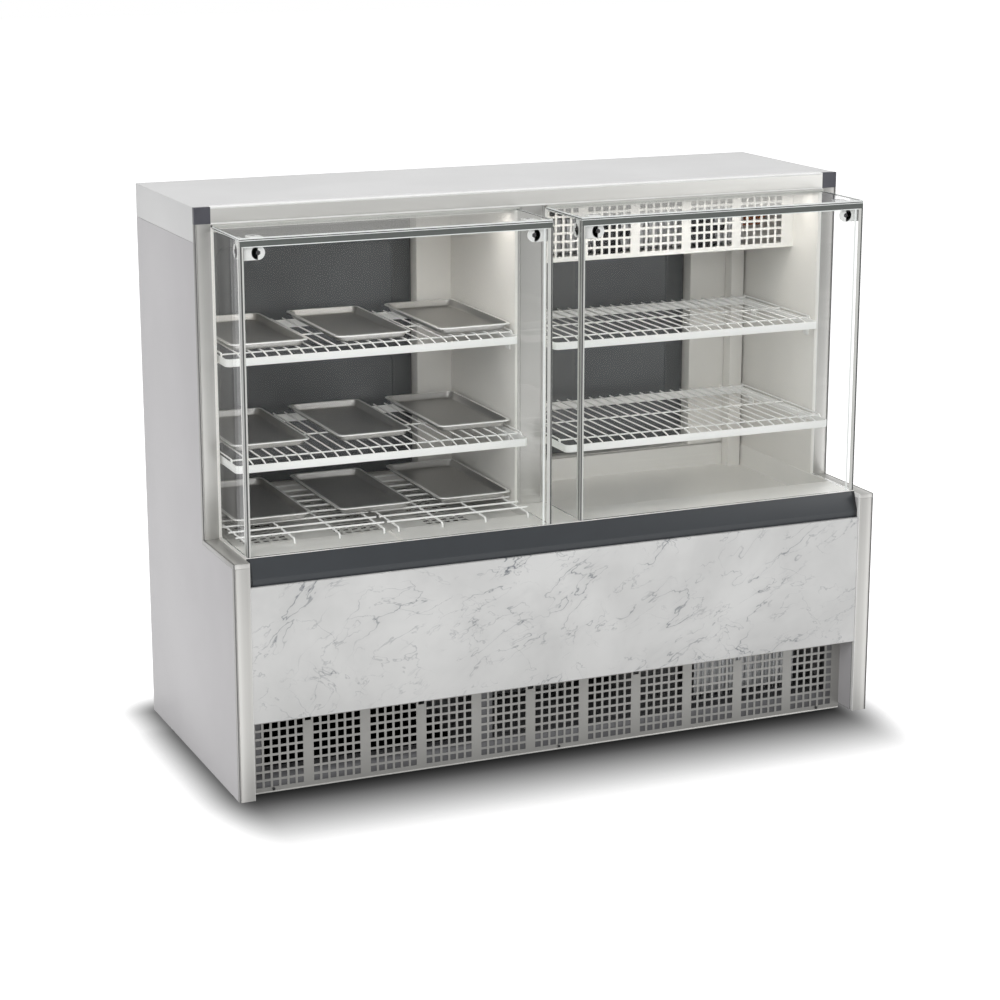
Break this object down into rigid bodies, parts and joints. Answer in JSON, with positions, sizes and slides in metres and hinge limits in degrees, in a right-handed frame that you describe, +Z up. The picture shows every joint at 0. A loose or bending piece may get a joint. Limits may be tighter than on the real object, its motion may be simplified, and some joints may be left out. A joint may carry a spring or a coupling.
{
  "type": "refrigerated display case",
  "caption": "Glass-fronted counter display case with a heated bay, a chilled bay, wire shelves, pans, rear doors, a stone-look front panel and a perforated base grille",
  "frame": {"origin": "on the floor, at the middle of the case's plan", "axes": "+X to the shopper's right along the front, +Y towards the service side, +Z up"},
  "size_m": [1.75, 0.75, 1.465],
  "materials": {
    "side_panels": "satin light grey powder coat",
    "top_panel": "satin pale grey powder coat",
    "edge_profiles": "satin anodised",
    "corner_caps": "dark grey moulded",
    "white_liners": "white powder coat",
    "fittings": "brushed",
    "glass": "clear tempered glass with polished edges",
    "connectors": "polished",
    "seals": "pale extruded seal",
    "light_bars": "white diffuser in a slim holder",
    "stainless": "brushed stainless steel",
    "grille": "grey powder coat",
    "evaporator_cover": "white powder coat",
    "coil_fins": "plain fins",
    "white_wire": "white powder coat",
    "bright_wire": "polished wire",
    "heaters": "tubular element on white blocks",
    "stone_panel": "polished white laminate with grey stone veins",
    "bumper": "dark grey",
    "frame_steel": "dark grey",
    "rear_sheets": "grey powder coat",
    "control_plastic": "black moulded",
    "compressor_paint": "black",
    "copper_pipe": "bare copper",
    "drain_plastic": "grey",
    "door_shells": "grey powder coat",
    "door_liners": "moulded grey liner",
    "gaskets": "soft magnetic gasket",
    "fan_blades": "black moulded",
    "knob": "black moulded",
    "switch_keys": "green translucent key",
    "buttons": "soft keys",
    "feet": "black pads on steel studs"
  },
  "bodies": {
    "body": {"base_frame": "frame_steel", "base_grille": "grille", "bumper": "bumper", "cable_gland": "control_plastic", "centre_divider": "white_liners", "compressor": "compressor_paint", "condenser": "coil_fins", "control_fittings": "control_plastic", "control_panel": "rear_sheets", "corner_caps": "corner_caps", "drain_parts": "drain_plastic", "edge_trims": "edge_profiles", "evaporator_coil": "coil_fins", "evaporator_cover": "evaporator_cover", "fan_motors": "compressor_paint", "floor_racks": "bright_wire", "front_panel": "stone_panel", "glass_cold": "glass", "glass_connectors": "connectors", "glass_seals": "seals", "glass_warm": "glass", "heater_cover": "stainless", "heater_elements": "heaters", "hinge_brackets": "fittings", "inner_liners": "white_liners", "insulated_floor": "white_liners", "light_bars": "light_bars", "pans": "stainless", "pipe_duct": "white_liners", "pipes": "copper_pipe", "rear_service_panel": "rear_sheets", "rear_wall": "white_liners", "shelf_clips": "white_wire", "shelves": "white_wire", "side_panel_left": "side_panels", "side_panel_right": "side_panels", "sill_plates": "stainless", "top_cover": "top_panel", "top_front_rail": "edge_profiles", "tub_cold": "stainless", "tub_warm": "stainless"},
    "door_warm": {"door_shell_warm": "door_shells", "door_liner_warm": "door_liners", "door_gasket_warm": "gaskets"},
    "door_cold": {"door_shell_cold": "door_shells", "door_liner_cold": "door_liners", "door_gasket_cold": "gaskets"},
    "evaporator_fan_left": {"evaporator_fan_left": "fan_blades"},
    "evaporator_fan_right": {"evaporator_fan_right": "fan_blades"},
    "condenser_fan": {"condenser_fan": "fan_blades"},
    "thermostat_knob": {"thermostat_knob": "knob"},
    "heater_switch": {"heater_switch": "switch_keys"},
    "light_switch": {"light_switch": "switch_keys"},
    "controller_button_1": {"controller_button_1": "buttons"},
    "controller_button_2": {"controller_button_2": "buttons"},
    "controller_button_3": {"controller_button_3": "buttons"},
    "foot_front_left": {"foot_front_left": "feet"},
    "foot_front_right": {"foot_front_right": "feet"},
    "foot_back_left": {"foot_back_left": "feet"},
    "foot_back_right": {"foot_back_right": "feet"}
  },
  "joints": [
    {"name": "door_warm_hinge", "type": "hinge", "parent": "body", "child": "door_warm", "pos_m": [-0.744, 0.367, 1.0025], "axis": [0, 0, 1], "range_deg": [0, 110]},
    {"name": "door_cold_hinge", "type": "hinge", "parent": "body", "child": "door_cold", "pos_m": [0.691, 0.367, 1.0025], "axis": [0, 0, -1], "range_deg": [0, 110]},
    {"name": "evaporator_fan_left_spin", "type": "hinge", "parent": "body", "child": "evaporator_fan_left", "pos_m": [0.29475, 0.014, 1.3125], "axis": [0, 1, 0], "continuous": true},
    {"name": "evaporator_fan_right_spin", "type": "hinge", "parent": "body", "child": "evaporator_fan_right", "pos_m": [0.57475, 0.014, 1.3125], "axis": [0, 1, 0], "continuous": true},
    {"name": "condenser_fan_spin", "type": "hinge", "parent": "body", "child": "condenser_fan", "pos_m": [0.585, -0.149, 0.228], "axis": [0, 1, 0], "continuous": true},
    {"name": "thermostat_turn", "type": "hinge", "parent": "body", "child": "thermostat_knob", "pos_m": [-0.493, 0.3621, 0.58135], "axis": [0, 1, 0], "range_deg": [0, 270]},
    {"name": "heater_switch_rock", "type": "hinge", "parent": "body", "child": "heater_switch", "pos_m": [-0.393, 0.35, 0.58135], "axis": [1, 0, 0], "range_deg": [0, 20]},
    {"name": "light_switch_rock", "type": "hinge", "parent": "body", "child": "light_switch", "pos_m": [0, 0.35, 0.58135], "axis": [1, 0, 0], "range_deg": [0, 20]},
    {"name": "button_1_press", "type": "slide", "parent": "body", "child": "controller_button_1", "axis": [0, -1, 0], "range_m": [0, 0.0012], "stiffness_N_per_m": 400},
    {"name": "button_2_press", "type": "slide", "parent": "body", "child": "controller_button_2", "axis": [0, -1, 0], "range_m": [0, 0.0012], "stiffness_N_per_m": 400},
    {"name": "button_3_press", "type": "slide", "parent": "body", "child": "controller_button_3", "axis": [0, -1, 0], "range_m": [0, 0.0012], "stiffness_N_per_m": 400},
    {"name": "foot_front_left_turn", "type": "hinge", "parent": "body", "child": "foot_front_left", "pos_m": [-0.814, -0.185, 0.025], "axis": [0, 0, 1], "continuous": true},
    {"name": "foot_front_right_turn", "type": "hinge", "parent": "body", "child": "foot_front_right", "pos_m": [0.814, -0.185, 0.025], "axis": [0, 0, 1], "continuous": true},
    {"name": "foot_back_left_turn", "type": "hinge", "parent": "body", "child": "foot_back_left", "pos_m": [-0.814, 0.34, 0.025], "axis": [0, 0, 1], "continuous": true},
    {"name": "foot_back_right_turn", "type": "hinge", "parent": "body", "child": "foot_back_right", "pos_m": [0.814, 0.34, 0.025], "axis": [0, 0, 1], "continuous": true}
  ]
}
